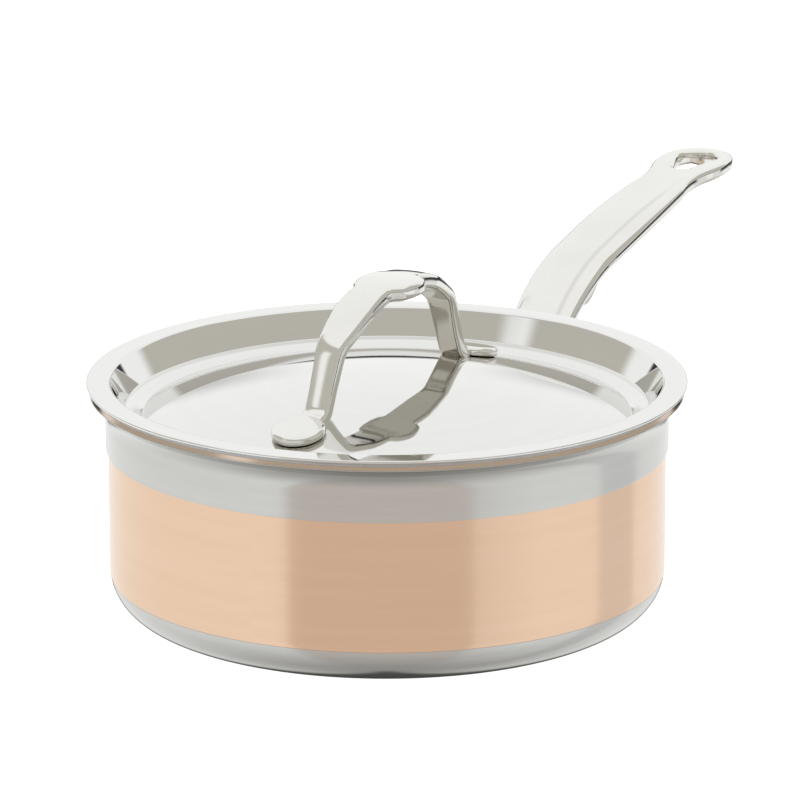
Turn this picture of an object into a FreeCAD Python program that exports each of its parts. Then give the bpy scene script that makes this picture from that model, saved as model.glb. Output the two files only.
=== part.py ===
"""A covered saucepan of 18 cm: a five-ply bonded body with an exposed copper wall, a cast handle held by
two flush rivets, and a recessed steel lid with an arched cast handle.

Frame: millimetres, +Z up, origin on the pan's axis at its flat underside, long handle along +X.
"""
import FreeCAD, Part
import math
import os

import Sketcher

V = FreeCAD.Vector

# Driving dimensions, in millimetres and degrees. Each becomes one aliased cell of the sheet.
SIZES = {
    # pan body, outside surfaces first, then the ply thicknesses from the outside in
    "rim_top": 77.6,
    "band_radius": 92.4,
    "copper_radius": 91.55,
    "base_corner": 14.5,
    "base_cup_top": 12.6,
    "band_bottom": 55.56,
    "steel_ply": 0.35,
    "copper_ply": 0.45,
    "core_ply": 0.75,
    "liner_ply": 0.4,
    "flare_start": 65.4,
    "flare_radius": 9.5,
    "flare_angle": 62,
    # lid shell
    "lid_sheet": 1.0,
    "lid_radius": 98.4,
    "lid_edge_round": 0.45,
    "recess_bend": 1.2,
    "recess_slope": 62,
    "recess_foot": 85.7,
    "recess_depth": 9.3,
    "ring_arc": 12,
    "groove_radius": 80.1,
    "dome_apex": 0.3,
    "dome_sphere": 275,
    "lid_turn": -1.7,
    # lid handle
    "strap_thick": 5,
    "strap_crown_height": 33.8,
    "crown_arc": 50,
    "crown_slope": 30,
    "shoulder_run": 10,
    "shoulder_arc": 14,
    "leg_slope": 65,
    "instep_arc": 3.5,
    "strap_half": 7,
    "strap_half_foot": 4.3,
    "crown_half": 12.3,
    "crown_reach": 9,
    "strap_shoulder": 21,
    "strap_ankle": 44.5,
    "strap_flank_arc": 150,
    "foot_offset": 56.8,
    "foot_radius": 8.85,
    "foot_thick": 3.2,
    "foot_sunk": 1.6,
    "stud_radius": 2.5,
    "stud_head": 5,
    "stud_head_thick": 0.8,
    "stud_reach": 2,
    # long handle
    "grip_thick": 6,
    "grip_root_drop": 21,
    "grip_root_slope": 37,
    "knee_start": 115.6,
    "knee_arc": 78,
    "knee_slope": 11.5,
    "back_end": 212,
    "back_rise": 22.2,
    "back_arc": 828,
    "grip_tip": 251,
    "grip_tip_rise": 24.8,
    "tip_arc": 362,
    "grip_half_root": 11.3,
    "grip_half_back": 12.2,
    "grip_half_neck": 10.7,
    "grip_widest": 149.6,
    "grip_neck": 204,
    "grip_flank_arc": 600,
    "neck_arc": 40,
    "loop_side": 224,
    "loop_side_half": 11.8,
    "loop_side_arc": 30,
    "loop_half": 12.9,
    "loop_centre": 237.5,
    "root_sunk": 1,
    "hole_far_centre": 237.5,
    "hole_far_radius": 7.2,
    "hole_near_centre": 225.5,
    "hole_near_radius": 3,
    "pad_sector": 24,
    "pad_top": 59,
    "pad_bottom": 30,
    "pad_thick": 4.5,
    "pad_corner": 8,
    "lug_centre": 138,
    "lug_radius": 8,
    "lug_drop": 7.4,
    "lug_half": 6,
    "edge_round": 1.4,
    # rivets of the long handle
    "rivet_angle": 6,
    "rivet_height": 44,
    "rivet_radius": 3,
    "rivet_head": 6,
    "rivet_head_proud": 0.5,
    "rivet_reach": 95.5,
    # how far the blanks of trimmed pieces stand past their finished outline
    "spare": 2,
}

LEAST_CUT = 0.5  # mm3, the least that a cut takes away

doc = FreeCAD.newDocument("saucepan")
sheet = doc.addObject("Spreadsheet::Sheet", "Sizes")
for row, (alias, number) in enumerate(SIZES.items(), start=1):
    sheet.set(f"A{row}", alias)
    sheet.set(f"B{row}", str(number))
    sheet.setAlias(f"B{row}", alias)
doc.recompute()


class Size:
    """A number kept with the sheet expression that gives it, so that sketches can be bound to it."""

    def __init__(self, value, text):
        self.value = value
        self.text = text

    @staticmethod
    def of(item):
        return item if isinstance(item, Size) else Size(float(item), repr(item))

    def __add__(self, other):
        other = Size.of(other)
        return Size(self.value + other.value, f"({self.text} + {other.text})")

    def __sub__(self, other):
        other = Size.of(other)
        return Size(self.value - other.value, f"({self.text} - {other.text})")

    def __mul__(self, other):
        other = Size.of(other)
        return Size(self.value * other.value, f"({self.text} * {other.text})")

    def __truediv__(self, other):
        other = Size.of(other)
        return Size(self.value / other.value, f"({self.text} / {other.text})")

    def __neg__(self):
        return Size(-self.value, f"(0 - {self.text})")


def root(size):
    return Size(math.sqrt(size.value), f"sqrt({size.text})")


def sine(degrees):
    return Size(math.sin(math.radians(degrees.value)), f"sin({degrees.text})")


def cosine(degrees):
    return Size(math.cos(math.radians(degrees.value)), f"cos({degrees.text})")


def cell(alias):
    return Size(float(sheet.get(alias)), f"Sizes.{alias}")


ZERO = Size(0.0, "0")


class Outline:
    """A closed outline of corners joined by lines, or by arcs no longer than a half circle."""

    def __init__(self):
        self.corners = []
        self.arcs = {}

    def line(self, x, y):
        self.corners.append((x, y))
        return self

    def arc(self, radius, left, x, y):
        """An arc from the last corner to x, y, with its centre on the left or on the right."""
        self.arcs[len(self.corners) - 1] = (Size.of(radius), left)
        return self.line(x, y)

    def close_with_arc(self, radius, left):
        self.arcs[len(self.corners) - 1] = (Size.of(radius), left)
        return self

    def mirrored(self, upright=False):
        """Adds the mirror image in the X axis, or in the upright one, where the outline starts and ends."""
        last = len(self.corners) - 1
        for index in range(last - 1, 0, -1):
            x, y = self.corners[index]
            image = (-x, y) if upright else (x, -y)
            if index in self.arcs:
                radius, left = self.arcs[index]
                self.arc(radius, left, *image)
            else:
                self.line(*image)
        if 0 in self.arcs:
            self.close_with_arc(*self.arcs[0])
        return self


class Disc:
    """A full circle."""

    def __init__(self, x, y, radius):
        self.centre = (x, y)
        self.radius = radius


def arc_between(start, end, radius, left):
    chord = end - start
    side = V(-chord.y, chord.x, 0).normalize() * (1 if left else -1)
    centre = (start + end) * 0.5 + side * math.sqrt(max(radius**2 - (chord.Length / 2) ** 2, 0))
    first = math.atan2(start.y - centre.y, start.x - centre.x)
    second = math.atan2(end.y - centre.y, end.x - centre.x)
    if not left:
        first, second = second, first
    return Part.ArcOfCircle(Part.Circle(centre, V(0, 0, 1), radius), first, second)


def bind(owner, path, size):
    owner.setExpression(path, size.text)


def pin_point(sketch, geometry, vertex, place):
    """Fixes a point of a sketch at a place that follows the sheet."""
    for kind, size, axis in (("DistanceX", place[0], -2), ("DistanceY", place[1], -1)):
        if size is ZERO:
            sketch.addConstraint(Sketcher.Constraint("PointOnObject", geometry, vertex, axis))
            continue
        constraint = Sketcher.Constraint(kind, -1, 1, geometry, vertex, size.value)
        number = sketch.addConstraint(constraint)
        bind(sketch, f"Constraints[{number}]", size)


def set_radius(sketch, geometry, radius):
    number = sketch.addConstraint(Sketcher.Constraint("Radius", geometry, radius.value))
    bind(sketch, f"Constraints[{number}]", radius)


def draw_disc(sketch, disc):
    x, y = disc.centre
    circle = Part.Circle(V(x.value, y.value, 0), V(0, 0, 1), disc.radius.value)
    geometry = sketch.addGeometry(circle, False)
    pin_point(sketch, geometry, 3, disc.centre)
    set_radius(sketch, geometry, disc.radius)


def draw(sketch, outline):
    """Draws an outline and binds every corner and radius of it to the sheet."""
    points = [V(x.value, y.value, 0) for x, y in outline.corners]
    base = sketch.GeometryCount
    ends = []
    for index, start in enumerate(points):
        end = points[(index + 1) % len(points)]
        if index in outline.arcs:
            radius, left = outline.arcs[index]
            geometry = sketch.addGeometry(arc_between(start, end, radius.value, left), False)
            ends.append((1, 2) if left else (2, 1))
            set_radius(sketch, geometry, radius)
        else:
            sketch.addGeometry(Part.LineSegment(start, end), False)
            ends.append((1, 2))
    for index, place in enumerate(outline.corners):
        here = base + index
        before = base + (index - 1) % len(points)
        at_start = ends[index][0]
        at_end = ends[(index - 1) % len(points)][1]
        sketch.addConstraint(Sketcher.Constraint("Coincident", before, at_end, here, at_start))
        pin_point(sketch, here, at_start, place)


def new_body(label):
    body = doc.addObject("PartDesign::Body", label)
    body.Label = label
    return body


def origin_plane(body, role):
    return next(item for item in body.Origin.OriginFeatures if item.Role == role)


def new_sketch(body, role, name, *outlines):
    sketch = body.newObject("Sketcher::SketchObject", name)
    sketch.AttachmentSupport = (origin_plane(body, role), [""])
    sketch.MapMode = "FlatFace"
    for outline in outlines:
        if isinstance(outline, Disc):
            draw_disc(sketch, outline)
        else:
            draw(sketch, outline)
    return sketch


def cut_must_remove(body, feature, before):
    """A cut that points away from the solid changes nothing and raises nothing, so it is tested here."""
    doc.recompute()
    if feature.Shape.isNull() or feature.Shape.Volume > before - LEAST_CUT:
        raise RuntimeError(f"{body.Label}: {feature.Name} removed nothing")


def revolve(body, name, outline, cut=False, sector=None):
    """A revolution or groove about the Z axis, all round or through a sector centred on the XZ plane."""
    before = body.Shape.Volume if cut else 0
    sketch = new_sketch(body, "XZ_Plane", f"{name}_profile", outline)
    kind = "PartDesign::Groove" if cut else "PartDesign::Revolution"
    feature = body.newObject(kind, name)
    feature.Profile = sketch
    feature.ReferenceAxis = (sketch, ["V_Axis"])
    feature.Angle = 360
    if sector is not None:
        feature.Midplane = True
        feature.Angle = sector.value
        bind(feature, "Angle", sector)
    if cut:
        cut_must_remove(body, feature, before)
    doc.recompute()
    return feature


def pad_both_ways(body, name, role, width, *outlines):
    feature = body.newObject("PartDesign::Pad", name)
    feature.Profile = new_sketch(body, role, f"{name}_profile", *outlines)
    feature.Midplane = True
    feature.Length = width.value
    bind(feature, "Length", width)
    doc.recompute()
    return feature


def pocket_both_ways(body, name, role, *outlines):
    before = body.Shape.Volume
    feature = body.newObject("PartDesign::Pocket", name)
    feature.Profile = new_sketch(body, role, f"{name}_profile", *outlines)
    feature.Midplane = True
    feature.Type = "ThroughAll"
    cut_must_remove(body, feature, before)
    return feature


def round_edges(body, name, radius, chosen):
    """Fillets the edges of the body's last feature that the test chooses."""
    base = body.Tip
    names = [f"Edge{n}" for n, edge in enumerate(base.Shape.Edges, start=1) if chosen(edge)]
    feature = body.newObject("PartDesign::Fillet", name)
    feature.Base = (base, names)
    feature.Radius = radius.value
    bind(feature, "Radius", radius)
    doc.recompute()
    return feature


def rectangle(x_low, y_low, x_high, y_high):
    return Outline().line(x_low, y_low).line(x_high, y_low).line(x_high, y_high).line(x_low, y_high)


# ---------------------------------------------------------------- pan body

FLARE_CENTRE = cell("band_radius") + cell("flare_radius")
# depth of each boundary between plies, below the turned outer surface
UNDER_CUP = cell("steel_ply")
UNDER_COPPER = UNDER_CUP + cell("copper_ply")
UNDER_CORE = UNDER_COPPER + cell("core_ply")
UNDER_LINER = UNDER_CORE + cell("liner_ply")


def wall_corner(depth):
    """Radius of the wall and of the base corner at a depth below the turned surface."""
    return cell("copper_radius") - depth, cell("base_corner") - depth


def flare_arc(wall_radius):
    """Radius of the flare's arc for a ply boundary, and its end on the cut edge of the lip."""
    radius = FLARE_CENTRE - wall_radius
    angle = cell("flare_angle")
    return radius, FLARE_CENTRE - radius * cosine(angle), cell("flare_start") + radius * sine(angle)


def ply_outline(outer_depth, inner_depth, outer_wall=None):
    """A ply that covers the base, the wall and the flare. outer_wall adds a step out under the rim band."""
    outer_radius, outer_corner = wall_corner(outer_depth)
    inner_radius, inner_corner = wall_corner(inner_depth)
    outline = Outline().line(ZERO, outer_depth).line(outer_radius - outer_corner, outer_depth)
    if outer_wall is None:
        outline.arc(outer_corner, True, outer_radius, cell("base_corner"))
        top_radius = outer_radius
    else:
        # the cup ends part of the way round the corner, and the ply steps out to the turned surface there
        cup_top = cell("base_cup_top")
        rise = cell("base_corner") - cup_top
        corner_x = outer_radius - outer_corner
        reach = root(outer_corner * outer_corner - rise * rise)
        outline.arc(outer_corner, True, corner_x + reach, cup_top)
        turned_radius, turned_corner = wall_corner(ZERO)
        turned_reach = root(turned_corner * turned_corner - rise * rise)
        outline.line(corner_x + turned_reach, cup_top)
        outline.arc(turned_corner, True, turned_radius, cell("base_corner"))
        outline.line(turned_radius, cell("band_bottom"))
        outline.line(outer_wall, cell("band_bottom"))
        top_radius = outer_wall
    outline.line(top_radius, cell("flare_start"))
    radius, lip_x, lip_z = flare_arc(top_radius)
    outline.arc(radius, False, lip_x, lip_z)
    radius, lip_x, lip_z = flare_arc(inner_radius)
    outline.line(lip_x, lip_z)
    outline.arc(radius, True, inner_radius, cell("flare_start"))
    outline.line(inner_radius, cell("base_corner"))
    outline.arc(inner_corner, False, inner_radius - inner_corner, inner_depth)
    return outline.line(ZERO, inner_depth)


def bore_wall(body, radius, reach):
    """Two radial rivet bores on the handle's side, from the pan's axis out to a reach."""
    for side, sign in (("left", 1), ("right", -1)):
        before = body.Shape.Volume
        sketch = new_sketch(body, "YZ_Plane", f"{side}_bore_profile",
                            Disc(ZERO, cell("rivet_height"), radius))
        turn = FreeCAD.Rotation(V(0, 1, 0), sign * cell("rivet_angle").value)
        sketch.AttachmentOffset = FreeCAD.Placement(V(), turn)
        feature = body.newObject("PartDesign::Pocket", f"{side}_bore")
        feature.Profile = sketch
        feature.Reversed = True
        feature.Length = reach.value
        bind(feature, "Length", reach)
        cut_must_remove(body, feature, before)


def inner_liner():
    body = new_body("inner_liner")
    revolve(body, "liner", ply_outline(UNDER_CORE, UNDER_LINER))
    bore_wall(body, cell("rivet_head"), cell("lid_radius"))


def aluminium_core():
    body = new_body("aluminium_core")
    revolve(body, "core", ply_outline(UNDER_COPPER, UNDER_CORE))
    bore_wall(body, cell("rivet_head"), cell("lid_radius"))


def copper_wall():
    body = new_body("copper_wall")
    outer_wall = cell("band_radius") - cell("steel_ply")
    revolve(body, "copper", ply_outline(UNDER_CUP, UNDER_COPPER, outer_wall))
    bore_wall(body, cell("rivet_radius"), cell("lid_radius"))


def rim_band():
    """The outer steel ply above the turned copper, with the underside of the flare."""
    body = new_body("rim_band")
    inner_radius = cell("band_radius") - cell("steel_ply")
    outline = Outline().line(inner_radius, cell("band_bottom"))
    outline.line(cell("band_radius"), cell("band_bottom"))
    outline.line(cell("band_radius"), cell("flare_start"))
    radius, lip_x, lip_z = flare_arc(cell("band_radius"))
    outline.arc(radius, False, lip_x, lip_z)
    radius, lip_x, lip_z = flare_arc(inner_radius)
    outline.line(lip_x, lip_z)
    outline.arc(radius, True, inner_radius, cell("flare_start"))
    revolve(body, "band", outline)


def base_cup():
    """The magnetic outer steel ply that is left on the base and its corner."""
    body = new_body("base_cup")
    rise = cell("base_corner") - cell("base_cup_top")
    outer_radius, outer_corner = wall_corner(ZERO)
    inner_radius, inner_corner = wall_corner(UNDER_CUP)
    corner_x = outer_radius - outer_corner
    outline = Outline().line(ZERO, ZERO).line(corner_x, ZERO)
    outline.arc(outer_corner, True, corner_x + root(outer_corner * outer_corner - rise * rise),
                cell("base_cup_top"))
    outline.line(corner_x + root(inner_corner * inner_corner - rise * rise), cell("base_cup_top"))
    outline.arc(inner_corner, False, inner_radius - inner_corner, UNDER_CUP)
    outline.line(ZERO, UNDER_CUP)
    revolve(body, "cup", outline)


# ---------------------------------------------------------------- long handle

def over_rim(height):
    """Height above the base of something measured from the lid's flange."""
    return cell("rim_top") + height


def handle_side():
    """Side view: a straight root, a knee, a long gentle back and a level loop, with an even thickness."""
    thick = cell("grip_thick")
    wall = cell("copper_radius") - cell("root_sunk")
    knee_x = cell("knee_start")
    root_x = cell("band_radius")
    slope = cell("grip_root_slope")
    root_z = over_rim(-cell("grip_root_drop"))
    run = (knee_x - root_x) / cosine(slope)
    knee_z = root_z + run * sine(slope)
    arc = cell("knee_arc")
    flat = cell("knee_slope")
    back_x = knee_x + arc * (sine(slope) - sine(flat))
    back_z = knee_z + arc * (cosine(flat) - cosine(slope))
    neck_x, neck_z = cell("back_end"), over_rim(cell("back_rise"))
    tip_x, tip_z = cell("grip_tip"), over_rim(cell("grip_tip_rise"))
    # the wall end of the top line, carried on inside the pad, where the pad's groove trims it
    inside_z = root_z - (root_x - wall) * sine(slope) / cosine(slope)
    outline = Outline().line(wall, inside_z).line(knee_x, knee_z)
    outline.arc(arc, False, back_x, back_z)
    outline.arc(cell("back_arc"), False, neck_x, neck_z)
    outline.arc(cell("tip_arc"), False, tip_x, tip_z)
    outline.line(tip_x, tip_z - thick)
    outline.arc(cell("tip_arc") - thick, True, neck_x, neck_z - thick)
    outline.arc(cell("back_arc") - thick, True, back_x + thick * sine(flat), back_z - thick * cosine(flat))
    outline.arc(arc - thick, True, knee_x + thick * sine(slope), knee_z - thick * cosine(slope))
    deeper = thick / cosine(slope)
    outline.line(wall, inside_z - deeper)
    return outline


def handle_plan():
    """Plan view: a slightly waisted strap that opens into the round-ended loop."""
    wall = cell("copper_radius") - cell("root_sunk") * 2
    flank = cell("grip_flank_arc")
    outline = Outline().line(wall, ZERO).line(wall, cell("grip_half_root"))
    outline.line(cell("knee_start"), cell("grip_half_root"))
    outline.arc(flank, False, cell("grip_widest"), cell("grip_half_back"))
    outline.arc(flank, False, cell("grip_neck"), cell("grip_half_neck"))
    outline.arc(cell("neck_arc"), True, cell("loop_side"), cell("loop_side_half"))
    outline.arc(cell("loop_side_arc"), False, cell("loop_centre"), cell("loop_half"))
    reach = cell("grip_tip") - cell("loop_centre")
    bow = (reach * reach + cell("loop_half") * cell("loop_half")) / (reach * 2)
    outline.arc(bow, False, cell("grip_tip"), ZERO)
    outline.mirrored()
    return outline


def hole_plan():
    """The hanging hole: a small near circle and a larger far one, joined by their tangents."""
    near_x, near_r = cell("hole_near_centre"), cell("hole_near_radius")
    far_x, far_r = cell("hole_far_centre"), cell("hole_far_radius")
    lean = (far_r - near_r) / (far_x - near_x)
    spread = root(Size.of(1) - lean * lean)
    outline = Outline().line(near_x - near_r, ZERO)
    outline.arc(near_r, False, near_x - near_r * lean, near_r * spread)
    outline.line(far_x - far_r * lean, far_r * spread)
    outline.arc(far_r, False, far_x + far_r, ZERO)
    return outline.mirrored()


def wall_core():
    """The space that the wall takes up, which trims the handle's pad to the wall's own curve."""
    outline = Outline().line(ZERO, ZERO).line(cell("copper_radius"), ZERO)
    outline.line(cell("copper_radius"), cell("band_bottom"))
    outline.line(cell("band_radius"), cell("band_bottom"))
    outline.line(cell("band_radius"), cell("rim_top"))
    return outline.line(ZERO, cell("rim_top"))


def pan_handle():
    body = new_body("pan_handle")
    side = cell("loop_half") + cell("spare")
    pad_both_ways(body, "strap", "XZ_Plane", side * 2, handle_side())
    far = cell("grip_tip") + cell("spare")
    frame = rectangle(ZERO, -side * 2, far, side * 2)
    pocket_both_ways(body, "trim_flanks", "XY_Plane", frame, handle_plan())
    pocket_both_ways(body, "hanging_hole", "XY_Plane", hole_plan())
    past_knee = (cell("knee_start") + cell("root_sunk")).value
    round_edges(body, "soft_edges", cell("edge_round"), lambda edge: edge.BoundBox.XMax > past_knee)
    lug_z = over_rim(cell("lug_radius") - cell("lug_drop"))
    pad_both_ways(body, "finger_stop", "XZ_Plane", cell("lug_half") * 2,
                  Disc(cell("lug_centre"), lug_z, cell("lug_radius")))
    inside = cell("copper_radius") - cell("root_sunk")
    outside = cell("copper_radius") + cell("pad_thick")
    pad_profile = rectangle(inside, cell("pad_bottom"), outside, cell("pad_top"))
    revolve(body, "wall_pad", pad_profile, sector=cell("pad_sector"))
    thickness = (outside - inside).value
    pad_end = cell("pad_sector").value / 2
    loose = 0.01  # relative slack of the two tests

    def on_pad_end(edge):
        radial = abs(edge.Length / thickness - 1) < loose
        angles = [abs(math.degrees(math.atan2(v.Y, v.X))) for v in edge.Vertexes]
        return radial and min(angles) > pad_end * (1 - loose)

    round_edges(body, "pad_corners", cell("pad_corner"), on_pad_end)
    revolve(body, "wall_seat", wall_core(), cut=True)
    bore_wall(body, cell("rivet_radius"), cell("rivet_reach"))


def place(body, turn, tilt=0, height=0):
    """Stands a body on the Z axis at a height, tilts it about Y and then turns it about Z."""
    turned = FreeCAD.Placement(V(), FreeCAD.Rotation(V(0, 0, 1), turn))
    tilted = FreeCAD.Placement(V(0, 0, height), FreeCAD.Rotation(V(0, 1, 0), tilt))
    body.Placement = turned * tilted


def rivet(label, head_low, head_high, head_radius, shank_radius, reach):
    """A rivet on the Z axis: a flat head between two heights, and a shank up to its reach."""
    body = new_body(label)
    outline = Outline().line(ZERO, head_low).line(head_radius, head_low).line(head_radius, head_high)
    outline.line(shank_radius, head_high).line(shank_radius, reach).line(ZERO, reach)
    revolve(body, "rivet", outline)
    return body


def handle_rivets():
    copper_inside = cell("copper_radius") - UNDER_COPPER
    liner_inside = cell("copper_radius") - UNDER_LINER
    head = cell("rivet_head")
    head_back = root(copper_inside * copper_inside - head * head)
    for side, sign in (("left", 1), ("right", -1)):
        body = rivet(f"handle_rivet_{side}", liner_inside - cell("rivet_head_proud"), head_back,
                     head, cell("rivet_radius"), cell("rivet_reach"))
        place(body, sign * cell("rivet_angle").value, 90, cell("rivet_height").value)


# ---------------------------------------------------------------- lid

SPHERE = cell("dome_sphere")
SPHERE_Z = over_rim(cell("dome_apex") - SPHERE)
FOOT_SINE = cell("foot_offset") / SPHERE
FOOT_COSINE = root(Size.of(1) - FOOT_SINE * FOOT_SINE)


def sphere_height(radius, sphere):
    return SPHERE_Z + root(sphere * sphere - radius * radius)


def foot_tilt():
    return math.degrees(math.asin(FOOT_SINE.value))


def turn_with_lid(body, tilt=0):
    place(body, cell("lid_turn").value, tilt, SPHERE_Z.value if tilt else 0)


def lid_shell():
    """One pressed sheet: flat rim, sloping recess wall, bright ring, groove and domed centre."""
    body = new_body("lid_shell")
    sheet_thick, top = cell("lid_sheet"), cell("rim_top")
    slope = cell("recess_slope")
    foot_x, foot_z = cell("recess_foot"), over_rim(-cell("recess_depth"))
    mouth_x = foot_x + cell("recess_depth") * cosine(slope) / sine(slope)
    bend = cell("recess_bend")
    tangent = bend * sine(slope / 2) / cosine(slope / 2)
    edge, rim = cell("lid_edge_round"), cell("lid_radius")
    under_x, under_z = foot_x + sheet_thick * sine(slope), foot_z - sheet_thick * cosine(slope)
    under_top = top - sheet_thick
    groove = cell("groove_radius")
    outline = Outline().line(ZERO, SPHERE_Z + SPHERE)
    outline.arc(SPHERE, False, groove, sphere_height(groove, SPHERE))
    outline.arc(cell("ring_arc"), False, foot_x, foot_z)
    outline.line(mouth_x - tangent * cosine(slope), top - tangent * sine(slope))
    outline.arc(bend, False, mouth_x + tangent, top)
    outline.line(rim - edge, top).arc(edge, False, rim, top - edge)
    outline.line(rim, under_top + edge).arc(edge, False, rim - edge, under_top)
    outline.line(under_x + (under_top - under_z) * cosine(slope) / sine(slope), under_top)
    outline.line(under_x, under_z)
    inner_sphere = SPHERE - sheet_thick
    outline.arc(cell("ring_arc") - sheet_thick, True, groove, sphere_height(groove, inner_sphere))
    outline.arc(inner_sphere, True, ZERO, SPHERE_Z + inner_sphere)
    revolve(body, "shell", outline)
    for end, sign in (("outer", 1), ("inner", -1)):
        bore_foot(body, end, sign, cell("stud_radius"))
    turn_with_lid(body)


def bore_foot(body, end, sign, radius):
    """A stud's bore, square to the dome under one foot of the lid's handle."""
    before = body.Shape.Volume
    sketch = new_sketch(body, "XY_Plane", f"{end}_bore_profile", Disc(ZERO, ZERO, radius))
    sketch.AttachmentOffset = FreeCAD.Placement(
        V(0, 0, SPHERE_Z.value), FreeCAD.Rotation(V(0, 1, 0), sign * foot_tilt()))
    feature = body.newObject("PartDesign::Pocket", f"{end}_bore")
    feature.Profile = sketch
    feature.Reversed = True
    reach = SPHERE + cell("stud_reach")
    feature.Length = reach.value
    bind(feature, "Length", reach)
    cut_must_remove(body, feature, before)


def strap_side():
    """Side view of the arched strap, from the crown down to both feet, in the XZ plane."""
    thick, crown = cell("strap_thick"), cell("crown_arc")
    gentle, steep = cell("crown_slope"), cell("leg_slope")
    apex = over_rim(cell("strap_crown_height"))
    run, bend = cell("shoulder_run"), cell("shoulder_arc")
    x1, z1 = crown * sine(gentle), apex - crown + crown * cosine(gentle)
    x2, z2 = x1 + run * cosine(gentle), z1 - run * sine(gentle)
    x3 = x2 + bend * (sine(steep) - sine(gentle))
    z3 = z2 - bend * (cosine(gentle) - cosine(steep))
    # where the leg's outer line meets the top of the foot, and the instep's tangent points
    foot_x = (SPHERE + cell("foot_thick")) * FOOT_SINE
    foot_z = SPHERE_Z + (SPHERE + cell("foot_thick")) * FOOT_COSINE
    meeting = sine(steep) * FOOT_COSINE - cosine(steep) * FOOT_SINE
    leg = -((foot_x - x3) * FOOT_SINE + (foot_z - z3) * FOOT_COSINE) / meeting
    corner_x, corner_z = x3 + leg * cosine(steep), z3 - leg * sine(steep)
    half_cosine = root((Size.of(1) + root(Size.of(1) - meeting * meeting)) / 2)
    tangent = cell("instep_arc") * (meeting / 2) / (half_cosine * half_cosine)
    outline = Outline().line(ZERO, apex).arc(crown, False, x1, z1).line(x2, z2)
    outline.arc(bend, False, x3, z3)
    outline.line(corner_x - tangent * cosine(steep), corner_z + tangent * sine(steep))
    outline.arc(cell("instep_arc"), True, corner_x + tangent * FOOT_COSINE, corner_z - tangent * FOOT_SINE)
    outline.line(foot_x, foot_z)
    outline.line(foot_x, foot_z - thick)
    inner_x, inner_z = x3 - thick * sine(steep), z3 - thick * cosine(steep)
    deep = leg + thick
    outline.line(inner_x + deep * cosine(steep), inner_z - deep * sine(steep))
    outline.line(inner_x, inner_z)
    outline.arc(bend - thick, True, x2 - thick * sine(gentle), z2 - thick * cosine(gentle))
    outline.line(x1 - thick * sine(gentle), z1 - thick * cosine(gentle))
    outline.arc(crown - thick, True, ZERO, apex - thick)
    return outline.mirrored(upright=True)


def strap_plan():
    """Plan view of the strap: narrow at the feet, waisted, and swelling into a round crown."""
    end = cell("foot_offset") + cell("foot_radius")
    half, narrow = cell("strap_half"), cell("strap_half_foot")
    reach = cell("crown_reach")
    swell = cell("crown_half") - half
    crown = (reach * reach + swell * swell) / (swell * 2)
    shoulder, ankle = cell("strap_shoulder"), cell("strap_ankle")
    flank = cell("strap_flank_arc")
    outline = Outline().line(-end, ZERO).line(-end, narrow).line(-ankle, narrow)
    outline.arc(flank, False, -shoulder, half).line(-reach, half)
    outline.arc(crown, False, ZERO, cell("crown_half")).arc(crown, False, reach, half)
    outline.line(shoulder, half).arc(flank, False, ankle, narrow).line(end, narrow)
    outline.line(end, ZERO)
    return outline.mirrored()


def dome_core():
    """The space under the lid's dome, which trims the handle's feet to the dome's own curve."""
    reach = cell("groove_radius")
    outline = Outline().line(ZERO, SPHERE_Z + SPHERE)
    outline.arc(SPHERE, False, reach, sphere_height(reach, SPHERE))
    return outline.line(reach, ZERO).line(ZERO, ZERO)


def lid_handle():
    body = new_body("lid_handle")
    side = cell("crown_half") + cell("spare")
    pad_both_ways(body, "strap", "XZ_Plane", side * 2, strap_side())
    far = cell("lid_radius")
    frame = rectangle(-far, -side * 2, far, side * 2)
    pocket_both_ways(body, "trim_flanks", "XY_Plane", frame, strap_plan())
    for end, sign in (("outer", 1), ("inner", -1)):
        foot = body.newObject("PartDesign::AdditiveCylinder", f"{end}_foot")
        sunk = cell("foot_sunk")
        foot.Radius = cell("foot_radius").value
        bind(foot, "Radius", cell("foot_radius"))
        foot.Height = (cell("foot_thick") + sunk).value
        bind(foot, "Height", cell("foot_thick") + sunk)
        foot.AttachmentSupport = (origin_plane(body, "XY_Plane"), [""])
        foot.MapMode = "FlatFace"
        level = (SPHERE - sunk).value
        tilt = FreeCAD.Rotation(V(0, 1, 0), sign * foot_tilt())
        centre = V(0, 0, SPHERE_Z.value) + tilt.multVec(V(0, 0, level))
        foot.AttachmentOffset = FreeCAD.Placement(centre, tilt)
        doc.recompute()
    foot_round = cell("foot_radius").value
    rim_height = (SPHERE_Z + SPHERE * FOOT_COSINE).value

    def rims_a_foot(edge):
        if not isinstance(edge.Curve, Part.Circle) or edge.BoundBox.ZMax < rim_height:
            return False
        return math.isclose(edge.Curve.Radius, foot_round)

    round_edges(body, "foot_rims", cell("edge_round"), rims_a_foot)
    revolve(body, "dome_seat", dome_core(), cut=True)
    for end, sign in (("outer", 1), ("inner", -1)):
        bore_foot(body, end, sign, cell("stud_radius"))
    turn_with_lid(body)


def lid_studs():
    inside, head = SPHERE - cell("lid_sheet"), cell("stud_head")
    # the flat head touches the hollow side of the dome with its rim
    head_top = root(inside * inside - head * head)
    for end, sign in (("outer", 1), ("inner", -1)):
        body = rivet(f"lid_rivet_{end}", head_top - cell("stud_head_thick"), head_top,
                     head, cell("stud_radius"), SPHERE + cell("stud_reach"))
        turn_with_lid(body, sign * foot_tilt())


def check_document():
    doc.recompute()
    for item in doc.Objects:
        if "Invalid" in item.State or "Error" in item.State:
            raise RuntimeError(f"{item.Name} is in state {item.State}")
    for body in doc.findObjects("PartDesign::Body"):
        if body.Shape.isNull() or not body.Shape.isValid():
            raise RuntimeError(f"{body.Label} has no valid shape")
        if len(body.Shape.Solids) != 1:
            raise RuntimeError(f"{body.Label} is not one solid")


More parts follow.
